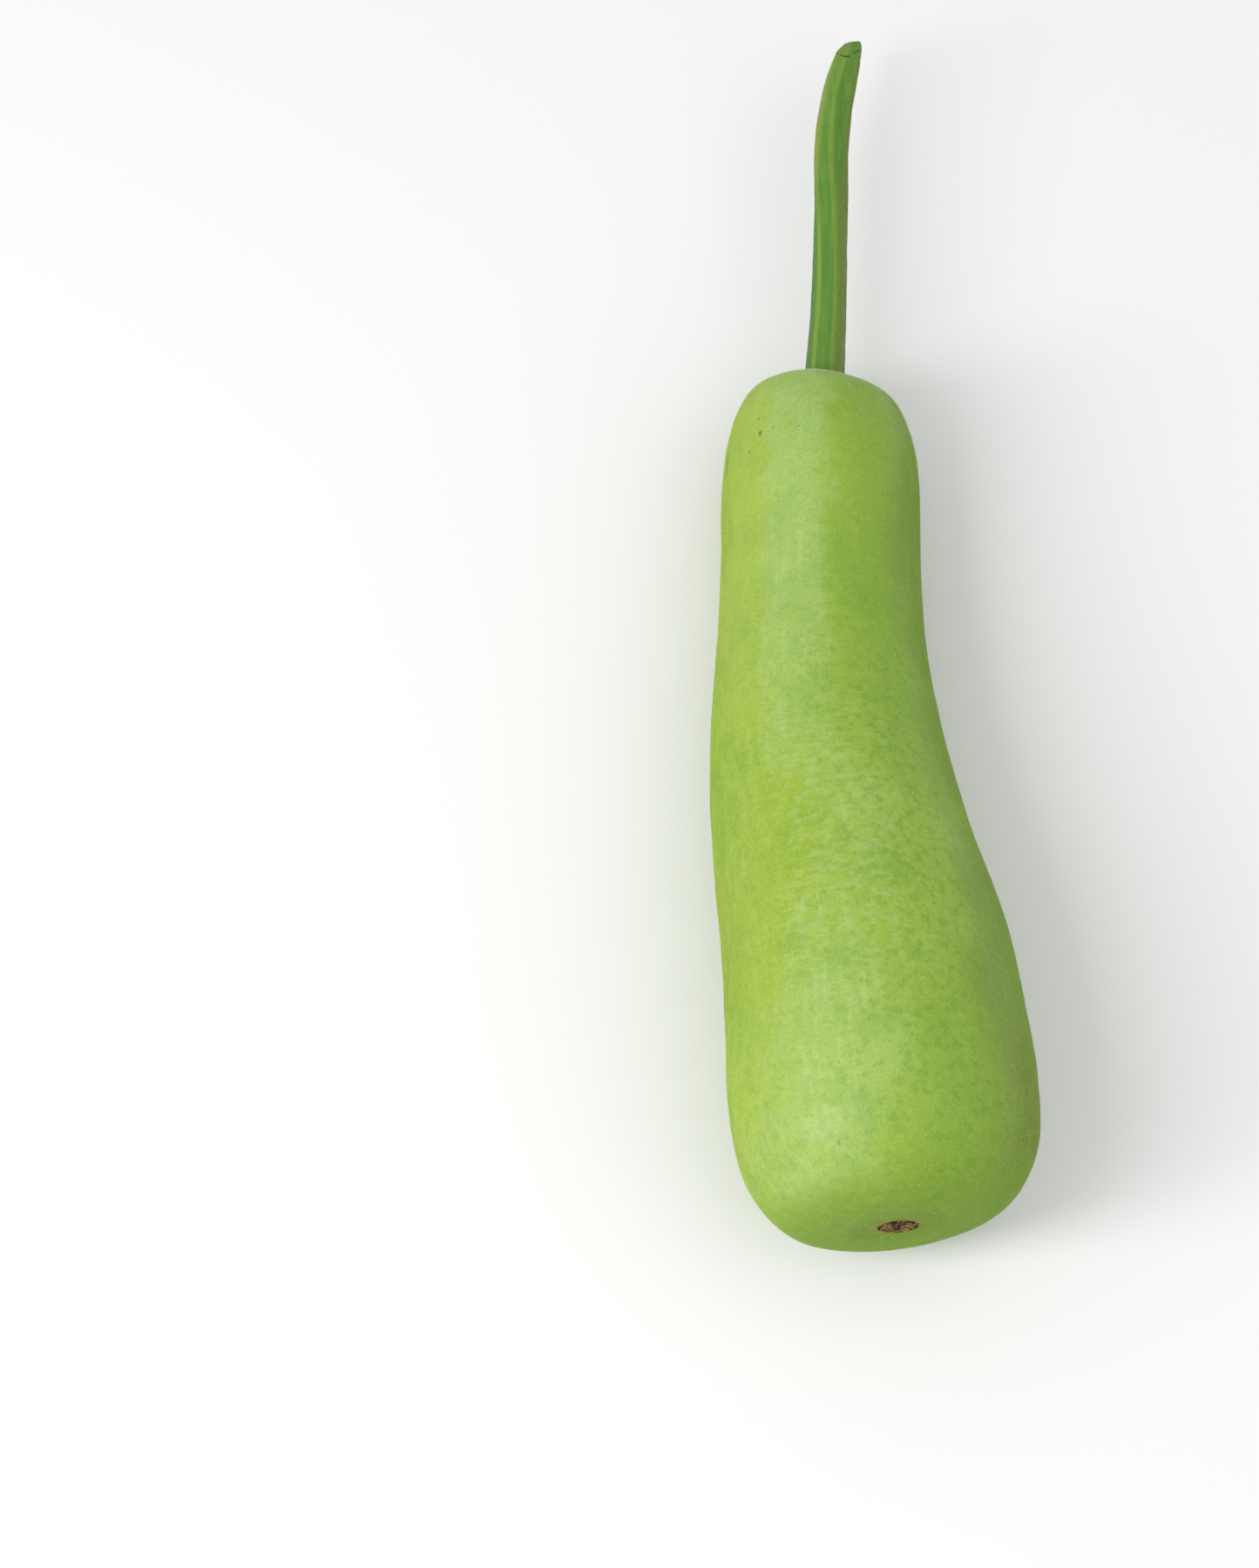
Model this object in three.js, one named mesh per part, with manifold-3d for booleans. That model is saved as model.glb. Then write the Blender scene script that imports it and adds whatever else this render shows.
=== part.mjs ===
// A bottle gourd as picked, lying on its side: the fruit, its cut stem and the dry scar
// where the blossom was. Units are millimetres, +Z is up, and the stem points along +Y.
// All three pieces are lathed round one straight axis and then laid along one curved axis.

import * as THREE from 'three';
import { mergeVertices } from 'three/addons/utils/BufferGeometryUtils.js';
import Module from 'manifold-3d';

// ---------------------------------------------------------------- driving dimensions

// A station is the distance from the blossom end, measured along Y.
// The curved axis that fruit and stem share: side, station and height of each point.
// The bulb hangs heavier than the neck, so the axis drops from the blossom end to the
// stem, and the fruit bends gently to one side.
const AXIS_POINTS = [
  [21.4, -5, 49.6],
  [17.6, 40, 46.1],
  [13.4, 80, 43.0],
  [6.4, 120, 39.6],
  [1.8, 160, 36.2],
  [1.2, 205, 32.6],
  [1.8, 245, 29.6],
  [3.2, 273, 27.6],
  [5.0, 300, 26.9],
  [6.0, 335, 27.8],
  [6.4, 352, 29.2],
  [8.4, 368, 31.1],
  [12.8, 386, 33.3],
  [16.0, 396, 34.6],
];

// Outline of the skin: station and radius, from the rim round the blossom scar, over the
// bulb and the neck, to the rim round the stem.
const SKIN_OUTLINE = [
  [0.6, 7.0],
  [0.2, 14.0],
  [0.9, 25.0],
  [3.7, 32.2],
  [9.2, 38.0],
  [21.0, 44.0],
  [42.0, 46.2],
  [64.0, 45.0],
  [85.0, 43.4],
  [106.0, 40.8],
  [132.0, 37.8],
  [159.0, 34.7],
  [185.0, 31.9],
  [212.0, 30.8],
  [238.0, 30.8],
  [251.5, 29.2],
  [260.5, 26.6],
  [267.5, 22.4],
  [271.6, 14.4],
  [273.3, 7.8],
];
const SKIN_STEPS_PER_POINT = 3;
const SKIN_SIDES = 48;

// Slow swellings of the skin, which keep the fruit from being perfectly round.
const SWELL_HEIGHT = 0.3;
const SWELL_START = 8;
const SWELL_END = 262;
const SWELL_FADE = 22;

// Both round ends are lopsided: each reaches further on the left than on the right.
const STEM_END_TILT = 1.2;
const STEM_END_START = 240;
const BLOSSOM_END_TILT = 1.0;
const BLOSSOM_END_STOP = 34;
const END_DEPTH = 24;
const END_INNER_RADIUS = 8;
const END_OUTER_RADIUS = 18;

// Seats sunk into the two ends of the fruit, and the gap that keeps the pieces apart.
const SCAR_SEAT_STATION = 2.6;
const SCAR_SEAT_RADIUS = 6.7;
const STEM_SEAT_STATION = 270.2;
const STEM_SEAT_RADIUS = 7.2;
const GAP = 0.3;

// Outline of the stem, flared where it meets the fruit, and its five long ribs.
const STEM_OUTLINE = [
  [270.5, 6.0],
  [274.0, 6.2],
  [282.0, 6.0],
  [300.0, 5.5],
  [320.0, 5.3],
  [340.0, 5.3],
  [358.0, 5.3],
  [374.0, 5.0],
  [383.2, 4.8],
  [384.2, 4.5],
  [385.2, 4.6],
  [387.6, 3.9],
  [389.0, 2.4],
];
const STEM_STEPS_PER_POINT = 3;
const STEM_SIDES = 40;
const RIB_COUNT = 5;
const RIB_DEPTH = 0.07;
const RIB_ANGLE = THREE.MathUtils.degToRad(-14);

// The cut across the tip, past the crease in the outline, reaches further to one side
// and further below.
const CUT_START = 383;
const CUT_SLOPE_SIDE = 0.34;
const CUT_SLOPE_DOWN = 0.22;

// The corky scar: face outline from its middle to its rim, and how rough it is.
const SCAR_FACE = [
  [0.9, 0],
  [0.7, 2.0],
  [0.5, 4.0],
  [0.3, 5.2],
  [0.9, 6.0],
];
const SCAR_BACK_STATION = SCAR_SEAT_STATION - GAP;
const SCAR_BACK_RADIUS = 6.0;
const SCAR_SIDES = 36;
const SCAR_RAGGED = 0.03;
const SCAR_ROUGH = 0.18;

// The middle of the whole gourd stands over the origin of its frame.
const MIDDLE_SIDE = 15.5;
const MIDDLE_STATION = 194.0;

const UP = new THREE.Vector3(0, 0, 1);

// ---------------------------------------------------------------- the curved axis

const axis = new THREE.CatmullRomCurve3(
  AXIS_POINTS.map(([side, station, height]) => new THREE.Vector3(side, station, height)),
);

/** Finds how far along the axis curve, from 0 to 1, a station lies. */
function curvePosition(station) {
  let low = 0;
  let high = 1;
  for (let step = 0; step < 40; step += 1) {
    const middle = (low + high) / 2;
    if (axis.getPoint(middle).y < station) {
      low = middle;
    } else {
      high = middle;
    }
  }
  return (low + high) / 2;
}

/** Gives the point of the axis at a station, with its sideways and upward directions. */
function sectionAt(station) {
  const position = curvePosition(station);
  const tangent = axis.getTangent(position);
  const side = tangent.clone().cross(UP).normalize();
  const up = side.clone().cross(tangent);
  return { centre: axis.getPoint(position), side, up };
}

/** Moves a lathed geometry, whose own axis is Y, onto the curved axis. */
function layAlongAxis(geometry) {
  const position = geometry.attributes.position;
  for (let index = 0; index < position.count; index += 1) {
    const section = sectionAt(position.getY(index));
    const point = section.centre
      .addScaledVector(section.side, position.getX(index))
      .addScaledVector(section.up, position.getZ(index));
    position.setXYZ(index, point.x, point.y, point.z);
  }
  return geometry;
}

// ---------------------------------------------------------------- shaping helpers

/** Rounds a list of station and radius pairs into a smooth run of lathe points. */
function smoothOutline(outline, stepsPerPoint) {
  const curve = new THREE.CatmullRomCurve3(
    outline.map(([station, radius]) => new THREE.Vector3(radius, station, 0)),
  );
  const steps = stepsPerPoint * (outline.length - 1);
  return curve.getPoints(steps).map((point) => new THREE.Vector2(point.x, point.y));
}

/** Calls shape(radius, angle, station) for every vertex and takes its radius and station. */
function reshape(geometry, shape) {
  const position = geometry.attributes.position;
  for (let index = 0; index < position.count; index += 1) {
    const x = position.getX(index);
    const z = position.getZ(index);
    const angle = Math.atan2(x, z);
    const moved = shape(Math.hypot(x, z), angle, position.getY(index));
    position.setXYZ(
      index,
      moved.radius * Math.sin(angle),
      moved.station,
      moved.radius * Math.cos(angle),
    );
  }
  return geometry;
}

/** Joins the vertices of a lathe's seam and poles, so that only one closed skin is left. */
function closed(geometry) {
  geometry.deleteAttribute('normal');
  geometry.deleteAttribute('uv');
  return mergeVertices(geometry, 1e-4);
}

// ---------------------------------------------------------------- the fruit

/** Height of the slow swellings at an angle round the fruit and a station along it. */
function swelling(angle, station) {
  const fade =
    THREE.MathUtils.smoothstep(station, SWELL_START, SWELL_START + SWELL_FADE) *
    (1 - THREE.MathUtils.smoothstep(station, SWELL_END - SWELL_FADE, SWELL_END));
  const wave =
    0.6 * Math.sin(2 * angle + station / 34) +
    0.5 * Math.sin(3 * angle - station / 21 + 1) +
    0.3 * Math.sin(angle + station / 13);
  return SWELL_HEIGHT * fade * wave;
}

/** How far the skin of a lopsided end is pushed along the axis. */
function endShift(radius, angle, station) {
  const { smoothstep } = THREE.MathUtils;
  const stemEnd = smoothstep(station, STEM_END_START, STEM_END_START + END_DEPTH);
  const blossomEnd = 1 - smoothstep(station, BLOSSOM_END_STOP - END_DEPTH, BLOSSOM_END_STOP);
  const tilt = BLOSSOM_END_TILT * blossomEnd - STEM_END_TILT * stemEnd;
  return tilt * smoothstep(radius, END_INNER_RADIUS, END_OUTER_RADIUS) * Math.sin(angle);
}

/** Fruit with a seat in each end, before it is flattened where it rests. */
function fruitGeometry() {
  const profile = [
    new THREE.Vector2(0, SCAR_SEAT_STATION),
    new THREE.Vector2(SCAR_SEAT_RADIUS, SCAR_SEAT_STATION),
    ...smoothOutline(SKIN_OUTLINE, SKIN_STEPS_PER_POINT),
    new THREE.Vector2(STEM_SEAT_RADIUS, STEM_SEAT_STATION),
    new THREE.Vector2(0, STEM_SEAT_STATION),
  ];
  const lathe = new THREE.LatheGeometry(profile, SKIN_SIDES);
  reshape(lathe, (radius, angle, station) => ({
    radius: radius + swelling(angle, station),
    station: station + endShift(radius, angle, station),
  }));
  return closed(layAlongAxis(lathe));
}

// ---------------------------------------------------------------- the stem

/** Five-ribbed stem with a flared foot, a crease near the tip and a slanting cut. */
function stemGeometry() {
  const side = smoothOutline(STEM_OUTLINE, STEM_STEPS_PER_POINT);
  const foot = side[0];
  const tip = side[side.length - 1];
  const profile = [new THREE.Vector2(0, foot.y), ...side, new THREE.Vector2(0, tip.y)];
  const lathe = new THREE.LatheGeometry(profile, STEM_SIDES);
  reshape(lathe, (radius, angle, station) => {
    const ribbed = radius * (1 + RIB_DEPTH * Math.cos(RIB_COUNT * (angle - RIB_ANGLE)));
    const share = THREE.MathUtils.smoothstep(station, CUT_START, tip.y);
    const slant =
      CUT_SLOPE_SIDE * ribbed * Math.sin(angle) - CUT_SLOPE_DOWN * ribbed * Math.cos(angle);
    return { radius: ribbed, station: station + share * slant };
  });
  return closed(layAlongAxis(lathe));
}

// ---------------------------------------------------------------- the blossom scar

/** Flat corky plug with a ragged rim and a rough face. */
function scarGeometry() {
  const profile = [
    ...SCAR_FACE.map(([station, radius]) => new THREE.Vector2(radius, station)),
    new THREE.Vector2(SCAR_BACK_RADIUS, SCAR_BACK_STATION),
    new THREE.Vector2(0, SCAR_BACK_STATION),
  ];
  const lathe = new THREE.LatheGeometry(profile, SCAR_SIDES);
  reshape(lathe, (radius, angle, station) => {
    const ragged = 1 + SCAR_RAGGED * Math.sin(7 * angle + 2 * Math.sin(3 * angle));
    const onFace = station < 1 && radius > 0;
    const rough = SCAR_ROUGH * Math.sin(4 * angle + radius) * Math.cos(9 * angle - radius);
    return { radius: radius * ragged, station: station + (onFace ? rough : 0) };
  });
  return closed(layAlongAxis(lathe));
}

// ---------------------------------------------------------------- joining and cutting

const wasm = await Module();
wasm.setup();

/** Turns a closed geometry into a solid that can be cut. */
function solidOf(geometry) {
  const mesh = new wasm.Mesh({
    numProp: 3,
    vertProperties: new Float32Array(geometry.attributes.position.array),
    triVerts: new Uint32Array(geometry.index.array),
  });
  return new wasm.Manifold(mesh);
}

/** Turns a solid back into a geometry. */
function geometryOf(solid) {
  const mesh = solid.getMesh();
  const geometry = new THREE.BufferGeometry();
  geometry.setAttribute('position', new THREE.BufferAttribute(mesh.vertProperties, 3));
  geometry.setIndex(new THREE.BufferAttribute(mesh.triVerts, 1));
  geometry.computeVertexNormals();
  return geometry;
}

/** Block that fills everything below the surface the gourd lies on. */
function groundGeometry() {
  const size = 1000;
  const block = new THREE.BoxGeometry(size, size, size);
  block.translate(0, 0, -size / 2);
  return closed(block);
}

/** The fruit, pressed flat where the bulb and the neck touch the surface. */
function restedFruitGeometry() {
  return geometryOf(solidOf(fruitGeometry()).subtract(solidOf(groundGeometry())));
}

// ---------------------------------------------------------------- materials and scene

const skinMaterial = new THREE.MeshStandardMaterial({
  color: 0x95bb4d,
  roughness: 0.42,
  metalness: 0,
});
const stemMaterial = new THREE.MeshStandardMaterial({
  color: 0x5f9140,
  roughness: 0.5,
  metalness: 0,
});
const scarMaterial = new THREE.MeshStandardMaterial({
  color: 0x7d6040,
  roughness: 0.9,
  metalness: 0,
});

/** A mesh with a name. */
function namedMesh(name, geometry, material) {
  const mesh = new THREE.Mesh(geometry, material);
  mesh.name = name;
  return mesh;
}

const group = new THREE.Group();
group.add(
  namedMesh('gourd_body', restedFruitGeometry(), skinMaterial),
  namedMesh('stem', stemGeometry(), stemMaterial),
  namedMesh('blossom_scar', scarGeometry(), scarMaterial),
);
group.position.set(-MIDDLE_SIDE, -MIDDLE_STATION, 0);

export default group;
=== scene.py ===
"""A bottle gourd that lies on its side: skin, ribbed stem, blossom scar and fine down."""

import logging
import math
from dataclasses import dataclass
from enum import Enum
from functools import reduce
from typing import Any, Sequence

import bpy
import numpy as np
from bpy.types import Material, NodeSocket, NodeTree, Object
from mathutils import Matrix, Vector


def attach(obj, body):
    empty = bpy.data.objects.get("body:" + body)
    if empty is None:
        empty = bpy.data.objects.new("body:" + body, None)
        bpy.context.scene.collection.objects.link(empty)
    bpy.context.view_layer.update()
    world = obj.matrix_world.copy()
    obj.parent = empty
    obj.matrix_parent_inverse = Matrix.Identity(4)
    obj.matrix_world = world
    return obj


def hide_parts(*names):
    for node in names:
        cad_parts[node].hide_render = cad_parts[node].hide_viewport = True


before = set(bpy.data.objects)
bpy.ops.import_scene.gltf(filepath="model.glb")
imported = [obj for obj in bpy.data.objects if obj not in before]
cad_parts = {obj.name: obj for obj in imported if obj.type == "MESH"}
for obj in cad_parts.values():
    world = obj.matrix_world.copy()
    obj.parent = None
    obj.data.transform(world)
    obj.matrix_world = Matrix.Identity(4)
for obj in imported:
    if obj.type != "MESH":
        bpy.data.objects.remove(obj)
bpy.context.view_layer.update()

Pair = tuple[float, float]
Triple = tuple[float, float, float]
Shade = tuple[float, float, float, float]

LOG = logging.getLogger("bottle_gourd")
MM = 0.001
TURN = 2.0 * math.pi
BODY = "root"
STRAIGHT = "straight"  # attribute that keeps a point's place on the straight gourd, in metres

# The same driving dimensions as the solids, in millimetres.
AXIS_POINTS = (
    (21.4, -5, 49.6), (17.6, 40, 46.1), (13.4, 80, 43.0), (6.4, 120, 39.6),
    (1.8, 160, 36.2), (1.2, 205, 32.6), (1.8, 245, 29.6), (3.2, 273, 27.6),
    (5.0, 300, 26.9), (6.0, 335, 27.8), (6.4, 352, 29.2), (8.4, 368, 31.1),
    (12.8, 386, 33.3), (16.0, 396, 34.6),
)
SKIN_OUTLINE = (
    (0.7, 5.7), (0.2, 14.0), (0.9, 25.0), (3.7, 32.2), (9.2, 38.0),
    (21.0, 44.0), (42.0, 46.2), (64.0, 45.0), (85.0, 43.4), (106.0, 40.8),
    (132.0, 37.8), (159.0, 34.7), (185.0, 31.9), (212.0, 30.8), (238.0, 30.8),
    (251.5, 29.2), (260.5, 26.6), (267.5, 22.4), (271.6, 14.4), (273.5, 6.9),
)
# A little wider at the foot and slimmer at the tip than the solid stem.
STEM_OUTLINE = (
    (270.5, 6.7), (273.0, 6.85), (275.4, 6.35), (282.0, 6.0), (300.0, 5.5),
    (320.0, 5.3), (340.0, 5.3), (358.0, 5.3), (374.0, 4.95), (382.2, 4.3),
    (383.2, 4.05), (384.2, 3.95), (387.0, 3.1), (389.0, 1.75),
)
MIDDLE_SIDE = 15.5
MIDDLE_STATION = 194.0


class Slot(Enum):
    """Material slots of the record."""

    SKIN = "skin"
    STEM = "stem"
    SCAR = "scar"


# ---------------- curves and the axis


def smoothstep(value: np.ndarray, low: float, high: float) -> np.ndarray:
    """Rises smoothly from 0 at low to 1 at high."""
    share = np.clip((value - low) / (high - low), 0.0, 1.0)
    return share * share * (3.0 - 2.0 * share)


def circle(count: int) -> np.ndarray:
    """Spaces angles evenly round a full turn."""
    return np.linspace(0.0, TURN, count, endpoint=False)


def smooth_curve(points: Sequence[Sequence[float]], steps: int) -> np.ndarray:
    """Draws a centripetal Catmull-Rom curve through points.

    Args:
        points: Points that the curve passes through.
        steps: Steps from each point to the next.

    Returns:
        An array of curve points, one row each.
    """
    given = np.asarray(points, float)
    whole = np.vstack([2.0 * given[0] - given[1], given, 2.0 * given[-1] - given[-2]])
    t = np.arange(steps)[:, None] / steps
    rows = []
    for index in range(len(given) - 1):
        p0, p1, p2, p3 = whole[index : index + 4]
        d0, d1, d2 = (math.sqrt(np.linalg.norm(gap)) for gap in (p1 - p0, p2 - p1, p3 - p2))
        m1 = d1 * ((p1 - p0) / d0 - (p2 - p0) / (d0 + d1) + (p2 - p1) / d1)
        m2 = d1 * ((p2 - p1) / d1 - (p3 - p1) / (d1 + d2) + (p3 - p2) / d2)
        square = (3.0 * (p2 - p1) - 2.0 * m1 - m2) * t**2
        rows.append(p1 + m1 * t + square + (2.0 * (p1 - p2) + m1 + m2) * t**3)
    return np.vstack([*rows, given[-1]])


class GrowthAxis:
    """The curved axis that fruit, stem and scar share, in millimetres."""

    def __init__(self) -> None:
        """Draws the axis once, finely, with its slope."""
        dense = smooth_curve(AXIS_POINTS, 120)
        self.stations = dense[:, 1]
        self.track = (dense[:, 0] - MIDDLE_SIDE, dense[:, 2])
        self.slope = tuple(np.gradient(line, self.stations) for line in self.track)

    def place(self, across: np.ndarray, stations: np.ndarray, height: np.ndarray) -> np.ndarray:
        """Moves points of the straight gourd onto the bent axis.

        Args:
            across: Sideways distances from the axis.
            stations: Distances from the blossom end along Y.
            height: Upward distances from the axis.

        Returns:
            The points in the gourd's frame.
        """
        side, rise = (np.interp(stations, self.stations, line) for line in self.track)
        centre = np.stack([side, stations - MIDDLE_STATION, rise], -1)
        side, rise = (np.interp(stations, self.stations, line) for line in self.slope)
        tangent = np.stack([side, np.ones_like(stations), rise], -1)
        tangent /= np.linalg.norm(tangent, axis=-1, keepdims=True)
        side = np.cross(tangent, (0.0, 0.0, 1.0))
        side /= np.linalg.norm(side, axis=-1, keepdims=True)
        up = np.cross(side, tangent)
        return centre + side * across[..., None] + up * height[..., None]


# ---------------- node helpers


class Board:
    """A node tree with short ways to add and link nodes."""

    def __init__(self, tree: NodeTree) -> None:
        """Takes the tree that the nodes go into."""
        self.tree = tree

    def feed(self, socket: NodeSocket, value: Any) -> None:
        """Links a socket to one input, or sets it to a plain value.

        Args:
            socket: The input.
            value: A socket to link, or a plain value to set.
        """
        if isinstance(value, NodeSocket):
            self.tree.links.new(value, socket)
        else:
            socket.default_value = value

    def add(self, kind: str, inputs: dict[Any, Any] | None = None, **settings: Any) -> Any:
        """Adds a node.

        Args:
            kind: The node's type name.
            inputs: Values or sockets by the input's name or number.
            **settings: Properties of the node.

        Returns:
            The node.
        """
        node = self.tree.nodes.new(kind)
        for name, value in settings.items():
            setattr(node, name, value)
        for name, value in (inputs or {}).items():
            self.feed(node.inputs[name], value)
        return node

    def get(self, kind: str, inputs: dict[Any, Any] | None = None, **settings: Any) -> Any:
        """Adds a node and gives its first output."""
        return self.add(kind, inputs, **settings).outputs[0]

    def math(self, operation: str, *values: Any) -> Any:
        """Adds a Math node and gives its result."""
        return self.get("ShaderNodeMath", dict(enumerate(values)), operation=operation)

    def times(self, *values: Any) -> Any:
        """Multiplies numbers, from left to right."""
        return reduce(lambda first, second: self.math("MULTIPLY", first, second), values)

    def vector(self, operation: str, *values: Any) -> Any:
        """Adds a Vector Math node and gives its vector."""
        return self.get("ShaderNodeVectorMath", dict(enumerate(values)), operation=operation)

    def measure(self, operation: str, *values: Any) -> Any:
        """Adds a Vector Math node and gives its number."""
        inputs = dict(enumerate(values))
        return self.add("ShaderNodeVectorMath", inputs, operation=operation).outputs[1]

    def scale(self, vector: Any, share: Any) -> Any:
        """Multiplies a vector by a number."""
        return self.get("ShaderNodeVectorMath", {0: vector, "Scale": share}, operation="SCALE")

    def combine(self, x: Any, y: Any, z: Any) -> Any:
        """Makes a vector of three numbers."""
        return self.get("ShaderNodeCombineXYZ", {0: x, 1: y, 2: z})

    def split(self, vector: Any) -> tuple[Any, Any, Any]:
        """Gives the three numbers of a vector."""
        return tuple(self.add("ShaderNodeSeparateXYZ", {0: vector}).outputs)

    def ramp(self, value: Any, low: Any, high: Any, to: Pair = (0, 1)) -> Any:
        """Maps a number smoothly from the range between low and high to a new range."""
        ends = {0: value, "From Min": low, "From Max": high, "To Min": to[0], "To Max": to[1]}
        return self.get("ShaderNodeMapRange", ends, interpolation_type="SMOOTHSTEP")

    def noise(self, vector: Any, scale: Any, detail: Any = 2.0, rough: Any = 0.5) -> Any:
        """Adds a Noise Texture and gives its value."""
        inputs = {"Vector": vector, "Scale": scale, "Detail": detail, "Roughness": rough}
        return self.get("ShaderNodeTexNoise", inputs)

    def sway(self, vector: Any, scale: Any, detail: Any = 2.0) -> Any:
        """Gives noise that swings about 0."""
        return self.math("SUBTRACT", self.noise(vector, scale, detail), 0.5)


class Kind(Enum):
    """Socket types of node groups."""

    GEOMETRY = "NodeSocketGeometry"
    NUMBER = "NodeSocketFloat"
    WHOLE = "NodeSocketInt"
    VECTOR = "NodeSocketVector"
    MATERIAL = "NodeSocketMaterial"


class Group(Board):
    """The board of a node group with named inputs and one output, of a family's own kind."""

    family: str
    output: str
    kind: Kind

    def __init__(self, name: str, **inputs: Any) -> None:
        """Makes the group and its sockets.

        Args:
            name: Name of the group.
            **inputs: Default number or bare kind of each input, with _ for a space in a name.
        """
        super().__init__(bpy.data.node_groups.new(name, self.family))
        sockets = self.tree.interface
        for label, default in inputs.items():
            bare = isinstance(default, Kind)
            number = Kind.WHOLE if isinstance(default, int) else Kind.NUMBER
            socket = sockets.new_socket(
                name=label.replace("_", " "), in_out="INPUT",
                socket_type=(default if bare else number).value,
            )
            if not bare:
                socket.default_value = default
        sockets.new_socket(name=self.output, in_out="OUTPUT", socket_type=self.kind.value)
        self.entry = self.add("NodeGroupInput")
        self.leave = self.add("NodeGroupOutput")

    def __getitem__(self, label: str) -> Any:
        """Gives one of the group's inputs."""
        return self.entry.outputs[label]

    def end(self, result: Any) -> NodeTree:
        """Links the output and gives the finished tree."""
        self.feed(self.leave.inputs[0], result)
        return self.tree


def linear(value: int) -> float:
    """Turns one part of a display colour, from 0 to 255, into the part that shaders use."""
    part = value / 255
    return part / 12.92 if part <= 0.04045 else ((part + 0.055) / 1.055) ** 2.4


def colour(red: int, green: int, blue: int) -> Shade:
    """Turns a display colour into the linear colour that shaders use."""
    return (linear(red), linear(green), linear(blue), 1.0)


# ---------------- mesh helpers


def keep(name: str, data: Any) -> Object:
    """Puts new data into the scene as an object.

    Args:
        name: Name of the object.
        data: Its mesh, light or camera.

    Returns:
        The object.
    """
    made = bpy.data.objects.new(name, data)
    bpy.context.scene.collection.objects.link(made)
    return made


def mesh_object(
    name: str, points: np.ndarray, faces: Sequence[Sequence[int]], edges: Sequence[Any] = ()
) -> Object:
    """Makes a smooth-shaded mesh object at the origin.

    Args:
        name: Name of the object.
        points: Points in millimetres.
        faces: Corners of each face, counter-clockwise from outside.
        edges: Edges that belong to no face.

    Returns:
        The object.
    """
    mesh = bpy.data.meshes.new(name)
    mesh.from_pydata((points * MM).tolist(), edges, faces)
    mesh.polygons.foreach_set("use_smooth", [True] * len(mesh.polygons))
    return keep(name, mesh)


def closed_path(name: str, points: np.ndarray) -> Object:
    """Makes a closed path of edges through points."""
    count = len(points)
    return mesh_object(name, points, [], [(index, (index + 1) % count) for index in range(count)])


def note(made: Object, straight: np.ndarray) -> None:
    """Notes the straight place of each point, given in millimetres, on a mesh object."""
    attribute = made.data.attributes.new(STRAIGHT, "FLOAT_VECTOR", "POINT")
    attribute.data.foreach_set("vector", np.asarray(straight * MM, np.float32).ravel())


def lathe(
    name: str, axis: GrowthAxis, radii: np.ndarray, stations: np.ndarray, poles: Pair
) -> Object:
    """Makes a closed lathe round the growth axis, with one point at each pole.

    Args:
        name: Name of the object.
        axis: The growth axis.
        radii: Radius of every point, by ring and side.
        stations: Station of every point, by ring and side.
        poles: Stations of the first and the last pole.

    Returns:
        The object, with its straight places noted on it.
    """
    count, sides = radii.shape
    angle = circle(sides)
    rings = np.stack([radii * np.sin(angle), stations, radii * np.cos(angle)], -1)
    straight = np.vstack([(0.0, poles[0], 0.0), rings.reshape(-1, 3), (0.0, poles[1], 0.0)])
    end = 1 + count * sides
    faces = []
    for side in range(sides):
        after = (side + 1) % sides
        faces.append([0, 1 + after, 1 + side])
        for low in range(1, end - sides, sides):
            high = low + sides
            faces.append([low + side, low + after, high + after, high + side])
        faces.append([end, end - sides + side, end - sides + after])
    made = mesh_object(name, axis.place(*straight.T), faces)
    note(made, straight)
    return made


def dress(piece: Object, slot: Slot, node: str | None = None) -> Object:
    """Tells the frame what a finished piece is and logs it.

    Args:
        piece: The finished piece.
        slot: Material slot it takes its finish from, which is only named in the log.
        node: Solid that it stands for, if it stands for one.

    Returns:
        The same piece.
    """
    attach(piece, BODY)
    if node:
        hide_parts(node)
    count = sum(len(face.vertices) - 2 for face in piece.data.polygons)
    LOG.info("%s: %d triangles, slot %s, for %s", piece.name, count, slot.value, node or "-")
    return piece


def grow(
    made: Object, group: NodeTree, name: str, slot: Slot, node: str | None = None, **values: Any
) -> Object:
    """Runs a Geometry Nodes tree on an object and keeps the result as a dressed plain mesh.

    Args:
        made: Object that the tree starts from; it is removed afterwards.
        group: The tree.
        name: Name of the finished piece.
        slot: Material slot it takes its finish from, which is only named in the log.
        node: Solid that it stands for, if it stands for one.
        **values: Values of the tree's inputs, with _ for a space in a name.

    Returns:
        The finished piece.
    """
    modifier = made.modifiers.new("growth", "NODES")
    modifier.node_group = group
    for item in group.interface.items_tree:
        label = item.name.replace(" ", "_")
        if item.in_out == "INPUT" and label in values:
            modifier[item.identifier] = values[label]
    bpy.context.view_layer.update()
    evaluated = made.evaluated_get(bpy.context.evaluated_depsgraph_get())
    mesh = bpy.data.meshes.new_from_object(evaluated)
    mesh.name = name
    bpy.data.objects.remove(made)
    return dress(keep(name, mesh), slot, node)


# ---------------- shader groups and paint


class Effect(Group):
    """The board of a shader group that gives only a mask."""

    family, output, kind = "ShaderNodeTree", "Mask", Kind.NUMBER


def mottle_group() -> NodeTree:
    """Soft cloudy mask between two levels.

    Returns:
        The group.
    """
    group = Effect("mottle", Vector=Kind.VECTOR, Scale=40.0, Low=0.4, High=0.6, Detail=4.0)
    clouds = group.noise(group["Vector"], group["Scale"], group["Detail"], 0.55)
    return group.end(group.ramp(clouds, group["Low"], group["High"]))


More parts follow.
